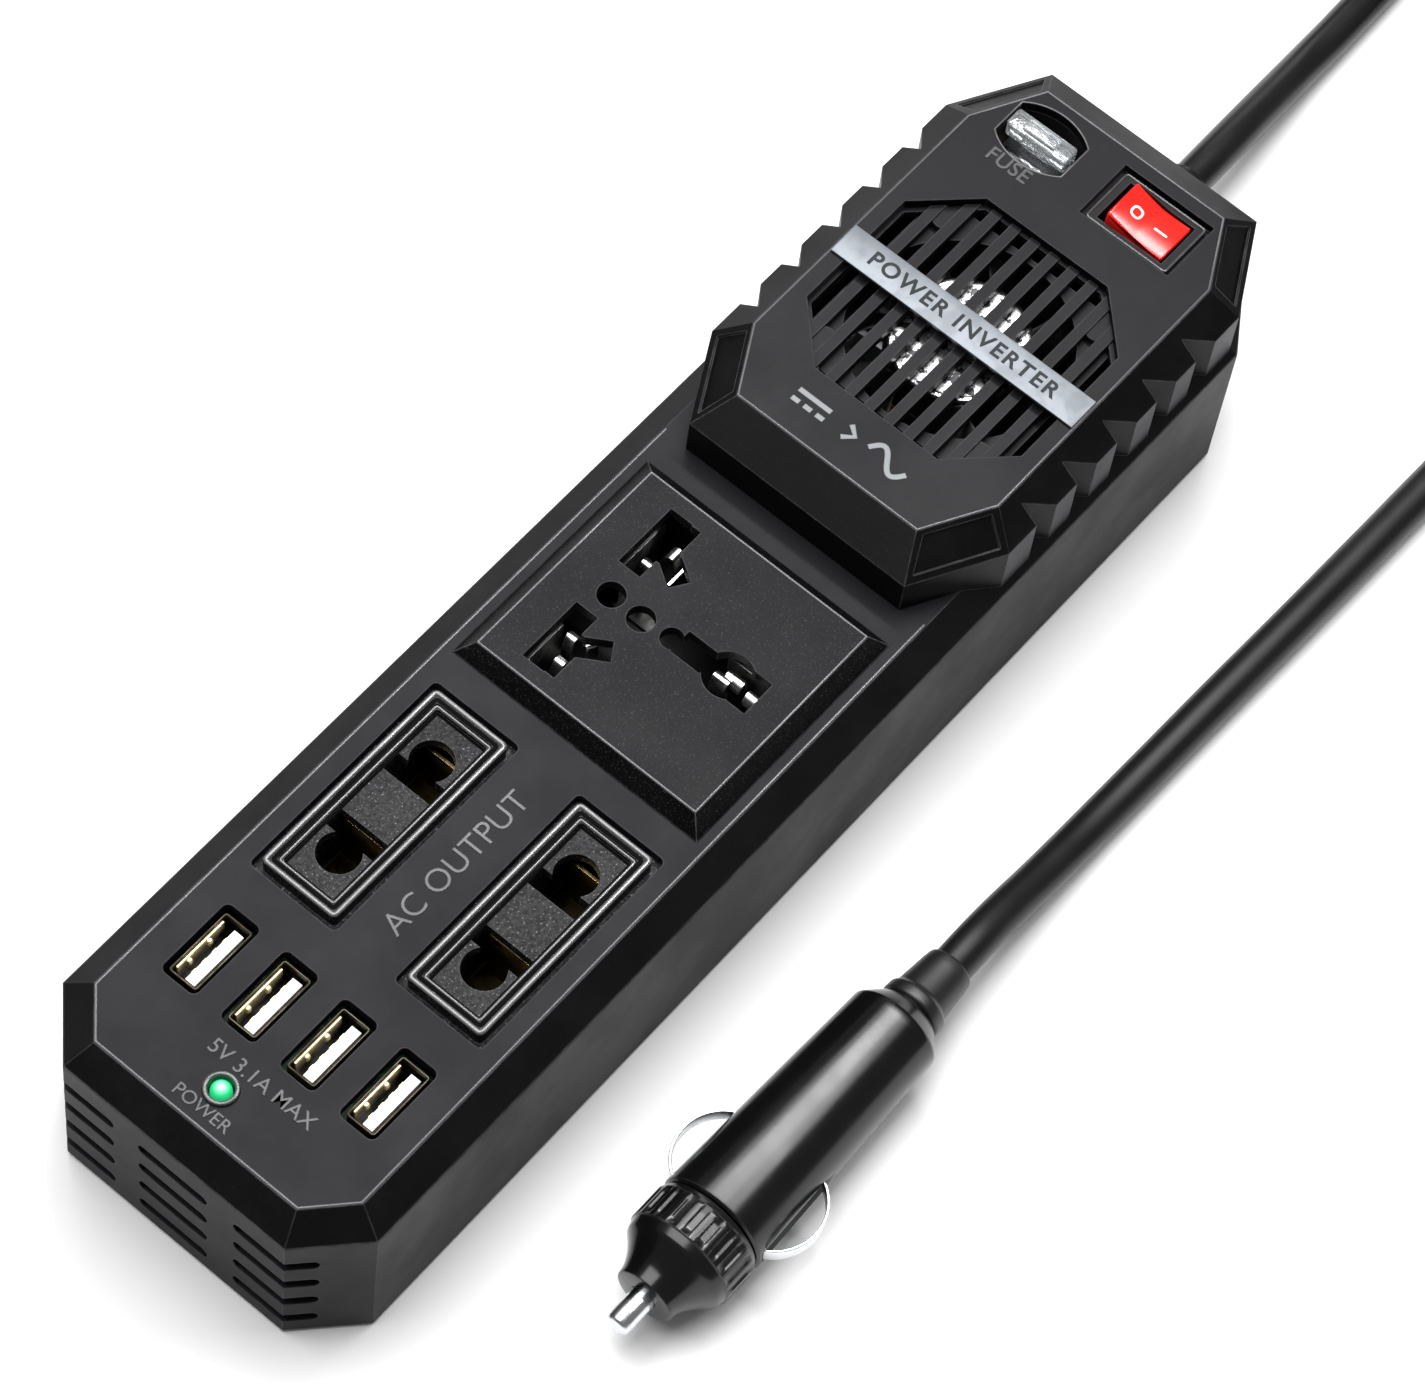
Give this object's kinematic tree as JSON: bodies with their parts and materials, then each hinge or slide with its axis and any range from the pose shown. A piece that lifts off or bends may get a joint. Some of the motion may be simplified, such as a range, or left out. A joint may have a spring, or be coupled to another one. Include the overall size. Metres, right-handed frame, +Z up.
{
  "type": "car power inverter",
  "caption": "Slim strip-shaped car power inverter: USB row, two-pin sockets, universal socket, fan under a slatted grille, rocker, blade fuse and a 12 V plug on a coiled cord.",
  "frame": {"origin": "on the floor under the middle of the case", "axes": "+X along the case from the USB end to the cord end, +Y across it, +Z up"},
  "size_m": [0.4006, 0.1079, 0.0494],
  "materials": {
    "case_plastic": "fine spark-eroded texture",
    "dark_plastic": "satin",
    "socket_plastic": "coarse sparkle texture",
    "silver_film": "brushed film",
    "screw_steel": "zinc plated",
    "foot_rubber": "matte",
    "shell_steel": "nickel plated",
    "tongue_plastic": "white",
    "contact_brass": "plain",
    "contact_nickel": "plated",
    "board_green": "solder mask",
    "led_green": "translucent",
    "lead_red": "insulation",
    "rocker_red": "gloss",
    "fuse_clear": "clear plastic",
    "winding_copper": "enamelled copper",
    "core_ferrite": "ferrite",
    "tape_yellow": "polyester tape",
    "sink_aluminium": "mill finish",
    "capacitor_blue": "sleeve",
    "cord_pvc": "satin pvc"
  },
  "bodies": {
    "inverter": {"lower_case": "case_plastic", "top_cover": "case_plastic", "fan_housing": "dark_plastic", "fan_grille": "dark_plastic", "rating_band": "silver_film", "case_screws": "screw_steel", "rubber_feet": "foot_rubber", "usb_shell_1": "shell_steel", "usb_shell_2": "shell_steel", "usb_shell_3": "shell_steel", "usb_shell_4": "shell_steel", "usb_tongue_1": "tongue_plastic", "usb_tongue_2": "tongue_plastic", "usb_tongue_3": "tongue_plastic", "usb_tongue_4": "tongue_plastic", "usb_contacts": "contact_brass", "usb_board": "board_green", "power_led": "led_green", "led_ring": "dark_plastic", "two_pin_left": "socket_plastic", "two_pin_right": "socket_plastic", "two_pin_contacts_left": "contact_brass", "two_pin_contacts_right": "contact_brass", "universal_socket": "socket_plastic", "universal_contacts": "contact_nickel", "universal_back": "dark_plastic", "socket_leads": "lead_red", "switch_frame": "dark_plastic", "switch_terminals": "contact_nickel", "fuse_holder": "dark_plastic", "fuse_clips": "contact_brass", "fan_frame": "dark_plastic", "fan_stator": "winding_copper", "fan_screws": "screw_steel", "main_board": "board_green", "board_screws": "screw_steel", "transformer_core": "core_ferrite", "transformer_winding": "tape_yellow", "heat_sink": "sink_aluminium", "power_transistors": "dark_plastic", "filter_capacitors": "capacitor_blue", "output_choke": "winding_copper", "cord_relief": "cord_pvc", "power_cord": "cord_pvc", "cord_coil": "cord_pvc", "cord_tie": "dark_plastic", "plug_barrel": "dark_plastic", "plug_boot": "cord_pvc", "plug_spring": "screw_steel"},
    "rocker": {"rocker": "rocker_red"},
    "fan_rotor": {"fan_rotor": "dark_plastic", "fan_label": "silver_film"},
    "blade_fuse": {"fuse_body": "fuse_clear", "fuse_blades": "contact_nickel"},
    "plug_nose_ring": {"plug_nose": "dark_plastic"},
    "plug_tip_pin": {"plug_tip": "contact_nickel", "plug_fuse": "fuse_clear"},
    "side_contact_left": {"plug_contact_left": "contact_nickel"},
    "side_contact_right": {"plug_contact_right": "contact_nickel"}
  },
  "joints": [
    {"name": "rocker_tilt", "type": "hinge", "parent": "inverter", "child": "rocker", "pos_m": [0.1044, -0.0093, 0.045], "axis": [1, 0, 0], "range_deg": [-20, 0]},
    {"name": "fan_spin", "type": "hinge", "parent": "inverter", "child": "fan_rotor", "pos_m": [0.0675, 0, 0.04], "axis": [0, 0, 1], "continuous": true},
    {"name": "fuse_pull", "type": "slide", "parent": "inverter", "child": "blade_fuse", "axis": [0, 0, 1], "range_m": [0, 0.016]},
    {"name": "nose_unscrew", "type": "slide", "parent": "inverter", "child": "plug_nose_ring", "axis": [-1, 0, 0], "range_m": [0, 0.014]},
    {"name": "tip_press", "type": "slide", "parent": "plug_nose_ring", "child": "plug_tip_pin", "axis": [1, 0, 0], "range_m": [0, 0.0035], "deforming": ["plug_spring"]},
    {"name": "side_press_left", "type": "slide", "parent": "inverter", "child": "side_contact_left", "axis": [0, -1, 0], "range_m": [0, 0.003]},
    {"name": "side_press_right", "type": "slide", "parent": "inverter", "child": "side_contact_right", "axis": [0, 1, 0], "range_m": [0, 0.003]}
  ]
}
